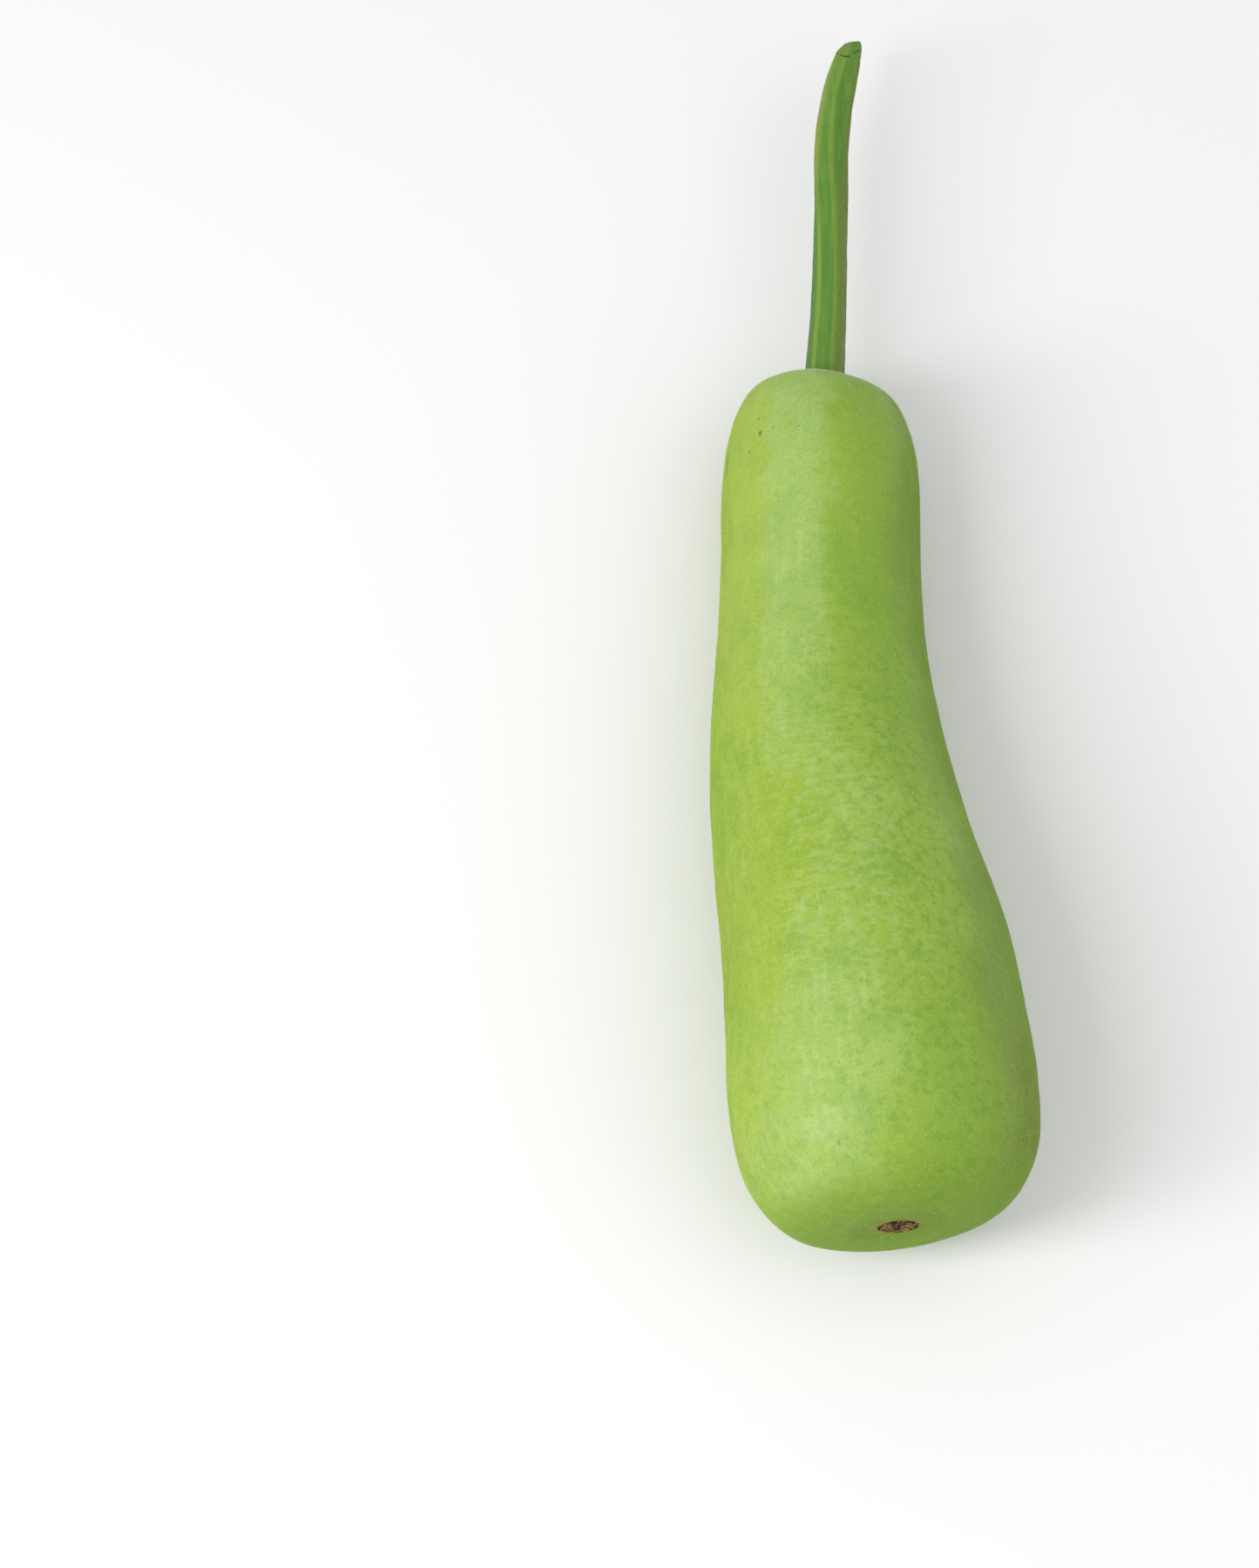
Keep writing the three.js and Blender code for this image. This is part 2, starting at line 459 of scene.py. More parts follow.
def specks_group() -> NodeTree:
    """Small round dots, of which only a share shows.

    Returns:
        The group.
    """
    group = Effect("specks", Vector=Kind.VECTOR, Scale=400.0, Size=0.2, Share=0.3)
    cells = group.add(
        "ShaderNodeTexVoronoi",
        {"Vector": group["Vector"], "Scale": group["Scale"], "Randomness": 1.0},
    )
    chance = group.split(cells.outputs["Color"])[0]
    shown = group.math("LESS_THAN", chance, group["Share"])
    return group.end(group.times(group.ramp(cells.outputs["Distance"], group["Size"], 0.0), shown))


def patch_group() -> NodeTree:
    """One ragged patch round a place, stretched along each axis by its own size.

    Returns:
        The group.
    """
    place = Kind.VECTOR
    group = Effect("patch", Vector=place, Place=place, Size=place, Ragged=0.4, Grain=900.0)
    offset = group.vector("SUBTRACT", group["Vector"], group["Place"])
    length = group.measure("LENGTH", group.vector("DIVIDE", offset, group["Size"]))
    wobble = group.sway(group["Vector"], group["Grain"], 3.0)
    edge = group.math("MULTIPLY_ADD", wobble, group["Ragged"], length)
    return group.end(group.ramp(edge, 1.1, 0.75))


def band_group() -> NodeTree:
    """Mask of a band across one number, soft at its edges.

    Returns:
        The group.
    """
    group = Effect("band", Value=0.0, Middle=0.0, Half_Width=1.0, Soft=0.5)
    away = group.math("ABSOLUTE", group.math("SUBTRACT", group["Value"], group["Middle"]))
    outer = group.math("ADD", group["Half Width"], group["Soft"])
    return group.end(group.ramp(away, outer, group["Half Width"]))


class Effects:
    """Shader node groups that several finishes share; each gives only a mask."""

    def __init__(self) -> None:
        """Builds every group once."""
        self.mottle = mottle_group()
        self.specks = specks_group()
        self.patch = patch_group()
        self.band = band_group()


class Paint(Board):
    """The board of one material, with its shader and the colour painted so far."""

    def __init__(self, name: str, effects: Effects) -> None:
        """Starts a material with a bare Principled shader.

        Args:
            name: Name of the material.
            effects: The shared shader groups.
        """
        self.material = bpy.data.materials.new(name)
        self.material.use_nodes = True
        super().__init__(self.material.node_tree)
        self.tree.nodes.clear()
        self.effects = effects
        self.base: Any = None
        self.shader = self.add("ShaderNodeBsdfPrincipled")
        self.add("ShaderNodeOutputMaterial", {"Surface": self.shader.outputs[0]})
        self.place = self.add("ShaderNodeTexCoord").outputs["Object"]

    def straight(self) -> Any:
        """Reads the place on the straight piece."""
        return self.add("ShaderNodeAttribute", attribute_name=STRAIGHT).outputs["Vector"]

    def start(self, share: Any, first: Any, second: Any) -> None:
        """Paints the first two colours, mixed by a share."""
        node = self.add("ShaderNodeMix", {0: share, 6: first, 7: second}, data_type="RGBA")
        self.base = node.outputs[2]

    def lay(self, shade: Any, *shares: Any) -> None:
        """Lays a colour over the rest, as strongly as the product of the shares."""
        self.start(self.times(*shares), self.base, shade)

    def mask(self, group: NodeTree, **inputs: Any) -> Any:
        """Places a shared effect and gives its mask, with _ for a space in an input's name."""
        named = {label.replace("_", " "): value for label, value in inputs.items()}
        return self.get("ShaderNodeGroup", named, node_tree=group)

    def clouds(self, vector: Any, scale: float, low: float, high: float) -> Any:
        """Gives a mask of soft clouds between two levels of noise."""
        return self.mask(self.effects.mottle, Vector=vector, Scale=scale, Low=low, High=high)

    def dots(
        self, vector: Any, scale: float = 330.0, size: float = 0.13, share: float = 0.12
    ) -> Any:
        """Gives a mask of dots, of which a share shows."""
        return self.mask(self.effects.specks, Vector=vector, Scale=scale, Size=size, Share=share)

    def band(self, value: Any, middle: float, half_width: float, soft: float) -> Any:
        """Gives a mask of a band across a number."""
        group = self.effects.band
        return self.mask(group, Value=value, Middle=middle, Half_Width=half_width, Soft=soft)

    def most(self, first: Any, second: Any) -> Any:
        """Gives the larger number."""
        return self.math("MAXIMUM", first, second)

    def finish(
        self, roughness: Any, height: Any = None, depth_mm: float = 0.1, **constants: float
    ) -> Material:
        """Connects the shader.

        Args:
            roughness: Roughness.
            height: Height from 0 to 1 for the bump, if there is one.
            depth_mm: Depth of the bump in millimetres.
            **constants: Shader inputs that are the same all over, with _ for a space.

        Returns:
            The finished material.
        """
        self.feed(self.shader.inputs["Base Color"], self.base)
        self.feed(self.shader.inputs["Roughness"], roughness)
        for label, value in constants.items():
            self.feed(self.shader.inputs[label.replace("_", " ")], value)
        if height is not None:
            bump = self.get("ShaderNodeBump", {"Height": height, "Distance": depth_mm * MM})
            self.feed(self.shader.inputs["Normal"], bump)
        return self.material


# ---------------- finishes


@dataclass(frozen=True)
class Blemish:
    """A small mark of the skin: where it is on the straight fruit, its size and colour."""

    angle: float
    station: float
    radius: float
    size: Triple
    shade: Shade
    strength: float

    def place(self) -> Triple:
        """Gives its place in metres on the straight fruit."""
        turn, reach = math.radians(self.angle), self.radius
        return (reach * math.sin(turn) * MM, self.station * MM, reach * math.cos(turn) * MM)


@dataclass(frozen=True)
class SkinPlace:
    """Where a point of the skin is, as sockets.

    The turn goes from -1 on the lit side to 1 on the shaded side. Along is the distance
    from the blossom end, and girth the distance from the axis.
    """

    straight: Any
    along: Any
    turn: Any
    girth: Any


@dataclass(frozen=True)
class Finish:
    """A material to be painted with the shared effects."""

    effects: Effects


@dataclass(frozen=True)
class SkinFinish(Finish):
    """Waxy yellow-green skin, mottled and speckled, with painted light and shade that make it paler
    and yellower on its lit side.
    """

    # painted light and shade: lit and shaded copies of the skin's green, the lit one yellower
    lit_side: Shade = colour(146, 169, 50)
    shaded: Shade = colour(128, 161, 54)
    # painted shade: darker olive along the shaded edge
    rim: Shade = colour(108, 132, 40)
    # painted shade: darker and less blue along the lit edge
    lit_edge_shade: Shade = colour(128, 157, 30)
    # the skin's own paler mottle, and also painted light on the lit ends and across the belly
    pale: Shade = colour(160, 182, 76)
    # painted highlight, partly a waxy bloom
    bloom_and_highlight: Shade = colour(156, 184, 104)
    # the pale collar at the stem's foot, and also painted sheen streaks in the crown
    collar: Shade = colour(176, 198, 134)
    deep: Shade = colour(102, 144, 38)
    # painted shade over the blossom end
    olive: Shade = colour(120, 149, 46)
    # painted shade: on the shaded side of the bulb end and in the dip round the scar
    hollow_shade: Shade = colour(100, 112, 34)
    halo: Shade = colour(132, 122, 50)
    speck: Shade = colour(74, 104, 38)
    fleck: Shade = colour(176, 192, 104)
    roughness: Pair = (0.38, 0.46)
    blemishes: tuple[Blemish, ...] = (
        Blemish(-40.5, 245.6, 30.2, (0.0007, 0.0012, 0.0008), colour(68, 114, 36), 0.75),
        Blemish(-43.5, 250.9, 29.5, (0.0005, 0.0006, 0.0005), colour(80, 122, 44), 0.8),
        Blemish(-31.5, 246.4, 30.2, (0.0004, 0.0006, 0.0004), colour(104, 104, 48), 0.6),
        Blemish(-15.0, 245.5, 30.5, (0.0004, 0.0004, 0.0004), colour(92, 92, 44), 0.7),
        Blemish(-4.5, 257.3, 28.0, (0.0003, 0.0004, 0.0004), colour(92, 100, 44), 0.6),
        Blemish(-24.0, 15.6, 42.2, (0.0005, 0.0009, 0.0008), colour(96, 120, 50), 0.45),
        Blemish(-48.0, 240.4, 30.6, (0.0006, 0.0008, 0.0006), colour(140, 118, 50), 0.65),
        Blemish(-75.0, 242.5, 30.2, (0.0009, 0.0050, 0.0012), colour(92, 138, 40), 0.7),
    )

    def build(self) -> Material:
        """Paints the material.

        Returns:
            The material.
        """
        paint = Paint("gourd_skin", self.effects)
        straight = paint.straight()
        across, along, height = paint.split(straight)
        girth = paint.measure("LENGTH", paint.combine(across, 0.0, height))
        at = SkinPlace(straight, along, paint.math("DIVIDE", across, girth), girth)
        self.zones(paint, at)
        self.crown(paint, at)
        end = self.blossom_end(paint, at)
        self.mottles(paint, at)
        ripples = self.ripples(paint, at)
        paint.lay(self.collar, paint.ramp(along, 0.2698, 0.2732), 0.85)
        self.marks(paint, at)

        gloss = paint.ramp(paint.noise(straight, 55.0, 4.0), 0.3, 0.7, self.roughness)
        dull = paint.most(paint.ramp(paint.math("ABSOLUTE", at.turn), 0.7, 1.0), end)
        gloss = paint.math("MULTIPLY_ADD", dull, 0.45, gloss)
        pores, dents = paint.noise(straight, 1300.0, 2.0), paint.noise(straight, 260.0, 3.0)
        bump = paint.math("MULTIPLY_ADD", pores, 0.3, dents)
        bump = paint.math("MULTIPLY_ADD", ripples, 0.9, bump)
        return paint.finish(gloss, bump, 0.15, Specular_IOR_Level=0.3)

    def zones(self, paint: Paint, at: SkinPlace) -> None:
        """Colours the lit side and the shaded side as painted light and shade, with painted shade on
        the shaded rim, on the shaded bulb end and along the lit edge, and painted light on the lit
        ends and the belly.

        Args:
            paint: The material's board.
            at: Place on the skin.
        """
        wander = paint.sway(at.straight, 24.0, 3.0)
        turned = paint.math("MULTIPLY_ADD", wander, 1.1, at.turn)
        # painted light and shade: the lit side paler than the shaded side
        paint.start(paint.ramp(turned, -0.6, 0.5), self.lit_side, self.shaded)
        # painted shade: a darker olive rim along the shaded side
        paint.lay(self.rim, paint.ramp(turned, 0.55, 1.0))
        # painted shade on the shaded side of the bulb end
        shade_side = paint.ramp(at.turn, 0.5, 0.9)
        paint.lay(self.hollow_shade, shade_side, paint.ramp(at.along, 0.058, 0.036), 0.6)
        # painted shade: a darker, less blue band along the lit edge
        paint.lay(self.lit_edge_shade, paint.ramp(turned, -0.7, -1.05, (0.0, 0.6)))
        # painted light: paler on the lit side of the bulb end and of the neck
        ends = paint.most(
            paint.ramp(at.along, 0.075, 0.045, (0.0, 0.7)),
            paint.ramp(at.along, 0.130, 0.180, (0.0, 0.5)),
        )
        paint.lay(self.pale, paint.ramp(turned, -0.2, -0.55), ends)
        # painted light: a paler band across the belly
        waist = paint.band(at.along, 0.098, 0.02, 0.035)
        belly = paint.times(paint.ramp(turned, -0.4, 0.1), paint.ramp(turned, 0.9, 0.55))
        paint.lay(self.pale, belly, waist, 0.4)

    def crown(self, paint: Paint, at: SkinPlace) -> None:
        """Lays a painted highlight, partly a waxy bloom, over the middle of the fruit, with
        drawn-out streaks of painted sheen.

        Args:
            paint: The material's board.
            at: Place on the skin.
        """
        along = at.along
        ragged = paint.sway(at.straight, 120.0, 3.0)
        turned = paint.math("MULTIPLY_ADD", ragged, 0.35, at.turn)
        middle = paint.band(along, 0.112, 0.006, 0.024)
        turned = paint.math("MULTIPLY_ADD", middle, -0.36, turned)
        turned = paint.math("ADD", turned, paint.ramp(along, 0.036, 0.020, (0.0, 0.22)))
        start = paint.ramp(along, 0.070, 0.045, (-0.7, -0.86))
        stop = paint.most(
            paint.ramp(along, 0.065, 0.045, (0.14, 0.28)),
            paint.ramp(along, 0.140, 0.180, (0.14, 0.18)),
        )
        crown = paint.times(
            paint.ramp(turned, start, paint.math("ADD", start, 0.25)),
            paint.ramp(turned, stop, paint.math("SUBTRACT", stop, 0.34)),
        )
        share = paint.most(
            paint.ramp(along, 0.115, 0.190, (0.24, 0.9)),
            paint.ramp(along, 0.088, 0.060, (0.24, 0.68)),
        )
        # painted highlight, partly a waxy bloom, over the lit crown
        paint.lay(self.bloom_and_highlight, crown, share)
        drawn = paint.vector("MULTIPLY", at.straight, (1.0, 0.1, 1.0))
        # painted sheen: pale drawn-out streaks in the painted highlight
        paint.lay(self.collar, crown, paint.clouds(drawn, 420.0, 0.5, 0.72), 0.4)

    def blossom_end(self, paint: Paint, at: SkinPlace) -> Any:
        """Darkens the flattened end round the scar with painted shade.

        Args:
            paint: The material's board.
            at: Place on the skin.

        Returns:
            The mask of the end.
        """
        reach = paint.ramp(at.turn, -0.6, 0.6, (0.012, 0.020))
        end = paint.ramp(paint.math("DIVIDE", at.along, reach), 1.0, 0.0)
        # painted shade over the flattened blossom end
        paint.lay(self.olive, end, 0.9)
        # painted shade, darker in the dip next to the scar
        paint.lay(self.hollow_shade, end, paint.ramp(at.girth, 0.019, 0.0085), 0.4)
        paint.lay(self.halo, end, paint.ramp(at.girth, 0.0086, 0.0068), 0.7)
        return end

    def mottles(self, paint: Paint, at: SkinPlace) -> None:
        """Lays clouds, streaks, blotches and grain over the base colour.

        Args:
            paint: The material's board.
            at: Place on the skin.
        """
        straight, turn = at.straight, at.turn
        paint.lay(self.deep, paint.clouds(straight, 46.0, 0.42, 0.7), 0.4)
        lengthwise = paint.vector("MULTIPLY", straight, (1.0, 0.24, 1.0))
        streaks = paint.clouds(lengthwise, 330.0, 0.45, 0.68)
        lit_side = paint.math("MULTIPLY_ADD", paint.ramp(turn, 0.2, -0.7), 0.4, 0.1)
        paint.lay(self.pale, streaks, lit_side, paint.ramp(at.along, 0.004, 0.016))
        blotches = paint.clouds(straight, 380.0, 0.44, 0.68)
        shady = paint.ramp(turn, -0.6, 0.5, (0.28, 0.68))
        shady = paint.times(shady, paint.ramp(at.along, 0.150, 0.205, (1.0, 0.38)))
        paint.lay(self.deep, blotches, shady)
        islands = paint.clouds(straight, 330.0, 0.46, 0.74)
        paint.lay(self.pale, islands, paint.ramp(turn, -0.2, 0.6, (0.26, 0.08)))
        paint.lay(self.deep, paint.clouds(straight, 1300.0, 0.42, 0.62), 0.26)
        paint.lay(self.pale, paint.clouds(straight, 2300.0, 0.5, 0.64), 0.4)

    def ripples(self, paint: Paint, at: SkinPlace) -> Any:
        """Draws short ripples across the middle of the fruit, with painted highlights on their
        crests.

        Args:
            paint: The material's board.
            at: Place on the skin.

        Returns:
            The height of the ripples.
        """
        crosswise = paint.vector("MULTIPLY", at.straight, (0.8, 1.7, 0.8))
        waves = paint.mask(
            paint.effects.mottle, Vector=crosswise, Scale=290.0, Low=0.46, High=0.68, Detail=1.4
        )
        shown = paint.times(waves, paint.band(at.along, 0.105, 0.03, 0.04))
        # painted highlight on the ripples' crests, strongest on the lit side
        highlight_share = paint.ramp(at.turn, 0.55, 0.05, (0.06, 0.46))
        highlight_share = paint.times(highlight_share, paint.ramp(at.turn, -0.75, -0.35))
        paint.lay(self.bloom_and_highlight, shown, highlight_share)
        return shown

    def marks(self, paint: Paint, at: SkinPlace) -> None:
        """Adds specks, pale flecks and the few blemishes.

        Args:
            paint: The material's board.
            at: Place on the skin.
        """
        paint.lay(self.speck, paint.dots(at.straight), 0.75)
        stars = paint.dots(at.straight, 760.0, 0.3, 0.3)
        paint.lay(self.fleck, stars, paint.ramp(at.turn, -0.3, 0.5, (0.08, 0.2)))
        for mark in self.blemishes:
            where = {"Vector": at.straight, "Place": mark.place(), "Size": mark.size}
            spot = paint.mask(paint.effects.patch, Ragged=0.9, **where)
            paint.lay(mark.shade, spot, mark.strength)


@dataclass(frozen=True)
class StemFinish(Finish):
    """Darker green with lighter veins along it, browned at its edge, with painted light: the veins
    show mostly on the lit side, and a painted highlight lies on the upper lit edge and the tip.
    """

    groove: Shade = colour(82, 125, 40)
    strand: Shade = colour(106, 144, 56)
    vein: Shade = colour(122, 149, 52)
    olive: Shade = colour(102, 128, 46)
    rust: Shade = colour(96, 84, 44)
    edge: Shade = colour(62, 100, 32)
    fleck: Shade = colour(190, 206, 140)
    # painted highlight colour
    sunlit: Shade = colour(152, 170, 78)
    upper: float = 0.335  # where the stem's upper part starts

    def build(self) -> Material:
        """Paints the material.

        Returns:
            The material.
        """
        paint = Paint("stem_skin", self.effects)
        across, along, veins = paint.split(paint.straight())
        strands = paint.vector("MULTIPLY", paint.place, (1.0, 0.06, 1.0))
        # painted light: the lighter veins show mostly on the lit side
        lit = paint.ramp(across, 0.0030, -0.0010, (0.3, 1.0))
        lit = paint.times(lit, paint.ramp(along, self.upper, 0.360, (1.0, 0.55)))
        thin = paint.ramp(across, -0.0040, -0.0048)
        thin = paint.times(thin, paint.ramp(along, self.upper, 0.320))
        lit = paint.times(lit, paint.math("SUBTRACT", 1.0, thin))
        shown = paint.times(paint.ramp(veins, 0.80, 1.0), lit)
        paint.start(shown, self.groove, self.vein)
        paint.lay(self.strand, paint.clouds(strands, 900.0, 0.4, 0.65), 0.5)
        paint.lay(self.edge, paint.clouds(strands, 330.0, 0.45, 0.62), 0.22)
        clouds = paint.clouds(paint.place, 130.0, 0.45, 0.7)
        paint.lay(self.groove, clouds, 0.35)

        lower = paint.ramp(along, 0.352, 0.330, (0.0034, 0.0019))
        edge = paint.ramp(paint.math("SUBTRACT", across, lower), 0.0, 0.0012)
        worn = paint.ramp(across, -0.0040, -0.0047)
        edge = paint.most(edge, paint.times(worn, paint.ramp(along, self.upper, 0.350)))
        paint.lay(self.olive, edge, paint.clouds(strands, 420.0, 0.2, 0.5))
        paint.lay(self.rust, edge, paint.clouds(paint.place, 1500.0, 0.5, 0.62), 0.6)
        paint.lay(self.edge, thin, 0.5)

        # painted highlight on the lit edge of the upper stem and on its tip
        upper = paint.ramp(along, self.upper, 0.352, (0.0, 0.38))
        glow = paint.times(paint.ramp(across, -0.0028, -0.0046), upper)
        highlight_share = paint.ramp(along, 0.364, 0.376, (0.0, 0.17))
        highlight_share = paint.times(paint.ramp(across, 0.001, -0.003), highlight_share)
        paint.lay(self.sunlit, paint.most(glow, highlight_share))
        spread = paint.vector("MULTIPLY", paint.place, (1.0, 0.4, 1.0))
        paint.lay(self.fleck, paint.dots(spread), 0.7)
        gloss = paint.ramp(clouds, 0.0, 1.0, (0.56, 0.72))
        return paint.finish(gloss, paint.noise(strands, 1400.0, 3.0), 0.15, Specular_IOR_Level=0.3)


@dataclass(frozen=True)
class CutFinish(Finish):
    """Pale, moist cut of the stem, browned at its edge."""

    flesh: Shade = colour(178, 196, 128)
    rind: Shade = colour(96, 140, 62)
    brown: Shade = colour(120, 92, 52)
    radius: float = 0.0031

    def build(self) -> Material:
        """Paints the material.

        Returns:
            The material.
        """
        paint = Paint("stem_cut_flesh", self.effects)
        across, _, height = paint.split(paint.straight())
        away = paint.measure("LENGTH", paint.combine(across, 0.0, height))
        paint.start(paint.ramp(away, self.radius * 0.72, self.radius), self.flesh, self.rind)
        paint.lay(self.brown, paint.clouds(paint.place, 700.0, 0.45, 0.7), 0.5)
        return paint.finish(0.5, paint.noise(paint.place, 1800.0), 0.12)


@dataclass(frozen=True)
class CorkFinish(Finish):
    """Dry, cracked cork: tan plates with dark cracks between them."""

    name: str
    tan: Shade = colour(128, 98, 52)
    pale: Shade = colour(176, 146, 88)
    dark: Shade = colour(36, 28, 18)
    red: Shade = colour(112, 54, 30)
    cracks: float = 0.55
    soot: float = 0.5

    def build(self) -> Material:
        """Paints the material.

        Returns:
            The material.
        """
        paint = Paint(self.name, self.effects)
        place = paint.place
        paint.start(paint.clouds(place, 420.0, 0.4, 0.6), self.tan, self.pale)
        paint.lay(self.red, paint.clouds(place, 300.0, 0.52, 0.6), 0.8)
        cells = {"Vector": place, "Scale": 560.0}
        gap = paint.get("ShaderNodeTexVoronoi", cells, feature="DISTANCE_TO_EDGE")
        gap = paint.ramp(gap, 0.16, 0.02)
        soot = paint.clouds(place, 800.0, self.soot, self.soot + 0.12)
        paint.lay(self.dark, paint.most(gap, soot), self.cracks)
        height = paint.math("SUBTRACT", paint.noise(place, 900.0, 4.0), gap)
        return paint.finish(0.85, height, 0.3, Specular_IOR_Level=0.2)


@dataclass(frozen=True)
class DownFinish(Finish):
    """Short silvery down."""

    silver: Shade = colour(214, 226, 180)
    green: Shade = colour(168, 196, 110)

    def build(self) -> Material:
        """Paints the material.

        Returns:
            The material.
        """
        paint = Paint("silver_down", self.effects)
        paint.start(paint.clouds(paint.place, 60.0, 0.35, 0.65), self.silver, self.green)
        return paint.finish(0.6)


# ---------------- Geometry Nodes trees


class Growth(Group):
    """The board of a Geometry Nodes tree that makes a finished piece."""

    family, output, kind = "GeometryNodeTree", "Geometry", Kind.GEOMETRY

    def __init__(self, name: str, **inputs: Any) -> None:
        """Makes the tree, with its own inputs between Geometry and Material."""
        super().__init__(name, Geometry=Kind.GEOMETRY, **inputs, Material=Kind.MATERIAL)
        self.place = self.get("GeometryNodeInputPosition")

    def straight(self) -> Any:
        """Reads the place on the straight piece."""
        kind = "GeometryNodeInputNamedAttribute"
        return self.get(kind, {"Name": STRAIGHT}, data_type="FLOAT_VECTOR")

    def move(self, geometry: Any, **inputs: Any) -> Any:
        """Moves the points of a geometry by an Offset, or to a Position."""
        return self.get("GeometryNodeSetPosition", {"Geometry": geometry, **inputs})

    def smooth(self, geometry: Any) -> Any:
        """Shades a geometry smooth."""
        return self.get("GeometryNodeSetShadeSmooth", {"Geometry": geometry})

    def sweep(self, curve: Any, outline: dict[str, Any], **inputs: Any) -> Any:
        """Draws a tube with a round outline along a curve."""
        ring = self.get("GeometryNodeCurvePrimitiveCircle", outline)
        return self.get("GeometryNodeCurveToMesh", {"Curve": curve, "Profile Curve": ring, **inputs})

    def random(self, low: Any, high: Any, seed: Any) -> Any:
        """Draws a random vector for each point."""
        inputs = {0: low, 1: high, "Seed": seed}
        return self.get("FunctionNodeRandomValue", inputs, data_type="FLOAT_VECTOR")

    def plant(self, points: Any, shape: Any, way: Any, size: Any) -> Any:
        """Puts a shape on points.

        Args:
            points: The points.
            shape: The shape, which stands along Z.
            way: Direction that its Z axis turns to.
            size: Its scale.

        Returns:
            The instances.
        """
        turn = self.get("FunctionNodeAlignRotationToVector", {"Vector": way}, axis="Z")
        inputs = {"Points": points, "Instance": shape, "Rotation": turn, "Scale": size}
        return self.get("GeometryNodeInstanceOnPoints", inputs)

    def end(self, result: Any) -> NodeTree:
        """Ends the tree in Realize Instances and Set Material.

        Args:
            result: The finished geometry.

        Returns:
            The tree.
        """
        real = self.get("GeometryNodeRealizeInstances", {0: result})
        inputs = {"Geometry": real, "Material": self["Material"]}
        return super().end(self.get("GeometryNodeSetMaterial", inputs))


def relief_tree() -> NodeTree:
    """Dimples and crosswise ripples of the skin, pressed flat at the surface.

    Returns:
        The tree.
    """
    tree = Growth(
        "skin_relief", Dimple_Scale=60.0, Dimple_Depth=0.0003, Ripple_Scale=120.0,
        Ripple_Height=0.0001, Ripple_Middle=0.105, Ripple_Reach=0.075, Calm_Radius=0.0075,
        Full_Radius=0.0140, Press=0.0004, Seed=3.0,
    )
    straight = tree.straight()
    across, along, height = tree.split(straight)
    shifted = tree.vector("ADD", straight, tree.combine(tree["Seed"], 0.0, 0.0))
    dimples = tree.times(tree.sway(shifted, tree["Dimple Scale"]), tree["Dimple Depth"])
    crosswise = tree.vector("MULTIPLY", shifted, (0.8, 3.2, 0.8))
    ripples = tree.times(tree.sway(crosswise, tree["Ripple Scale"]), tree["Ripple Height"])
    away = tree.math("ABSOLUTE", tree.math("SUBTRACT", along, tree["Ripple Middle"]))
    ripples = tree.times(ripples, tree.ramp(away, tree["Ripple Reach"], 0.0))
    ring = tree.measure("LENGTH", tree.combine(across, 0.0, height))
    shown = tree.ramp(ring, tree["Calm Radius"], tree["Full Radius"])
    total = tree.times(tree.math("ADD", dimples, ripples), shown)
    normal = tree.get("GeometryNodeInputNormal")
    raised = tree.move(tree["Geometry"], Offset=tree.scale(normal, total))
    x, y, z = tree.split(tree.place)
    pressed = tree.math("SMOOTH_MAX", z, 0.0, tree["Press"])
    return tree.end(tree.move(raised, Position=tree.combine(x, y, pressed)))


def down_tree() -> NodeTree:
    """Short hairs that stand on a surface and lean along the fruit.

    Returns:
        The tree.
    """
    tree = Growth(
        "down_hairs", Density=100000.0, Shoulder_Density=400000.0, Collar_Density=9000000.0,
        Length=0.0007, Thickness=0.00005, Lean=0.5, Clearance=0.003, Seed=5,
    )
    clear = tree.math("GREATER_THAN", tree.split(tree.place)[2], tree["Clearance"])
    along = tree.split(tree.straight())[1]
    shoulder = tree.ramp(along, 0.240, 0.268)
    density = tree.math("MULTIPLY_ADD", shoulder, tree["Shoulder Density"], tree["Density"])
    collar = tree.ramp(along, 0.2705, 0.2725)
    density = tree.math("MULTIPLY_ADD", collar, tree["Collar Density"], density)
    scatter = tree.add(
        "GeometryNodeDistributePointsOnFaces",
        {"Mesh": tree["Geometry"], "Selection": clear, "Density": density, "Seed": tree["Seed"]},
    )
    foot = tree.times(tree["Thickness"], 0.5)
    hair = tree.get(
        "GeometryNodeMeshCone",
        {"Vertices": 3, "Radius Top": 0.0, "Radius Bottom": foot, "Depth": tree["Length"]},
    )
    wild = tree.random((-0.5, -0.5, -0.5), (0.5, 0.5, 0.5), tree["Seed"])
    points, normal, _ = scatter.outputs
    lean = tree.combine(0.0, tree["Lean"], 0.0)
    way = tree.vector("ADD", tree.vector("ADD", normal, lean), wild)
    size = tree.add("FunctionNodeRandomValue", {2: 0.5, 3: 1.3, "Seed": 11}).outputs[1]
    size = tree.times(size, tree.ramp(collar, 0.0, 1.0, (1.0, 1.5)))
    return tree.end(tree.plant(points, hair, way, tree.combine(1.0, 1.0, size)))


def rim_tree() -> NodeTree:
    """Ragged bead that follows a closed path.

    Returns:
        The tree.
    """
    tree = Growth("ragged_rim", Thickness=0.0008, Ragged=0.0006, Grain=500.0)
    noise = {"Vector": tree.place, "Scale": tree["Grain"], "Detail": 3.0}
    shake = tree.add("ShaderNodeTexNoise", noise).outputs["Color"]
    shake = tree.vector("SUBTRACT", shake, (0.5, 0.5, 0.5))
    moved = tree.move(tree["Geometry"], Offset=tree.scale(shake, tree["Ragged"]))
    swell = tree.ramp(tree.noise(tree.place, tree["Grain"]), 0.3, 0.7, (0.25, 1.5))
    path = tree.get("GeometryNodeMeshToCurve", {"Mesh": moved})
    outline = {"Resolution": 8, "Radius": tree.times(tree["Thickness"], 0.5)}
    return tree.end(tree.smooth(tree.sweep(path, outline, Scale=swell)))


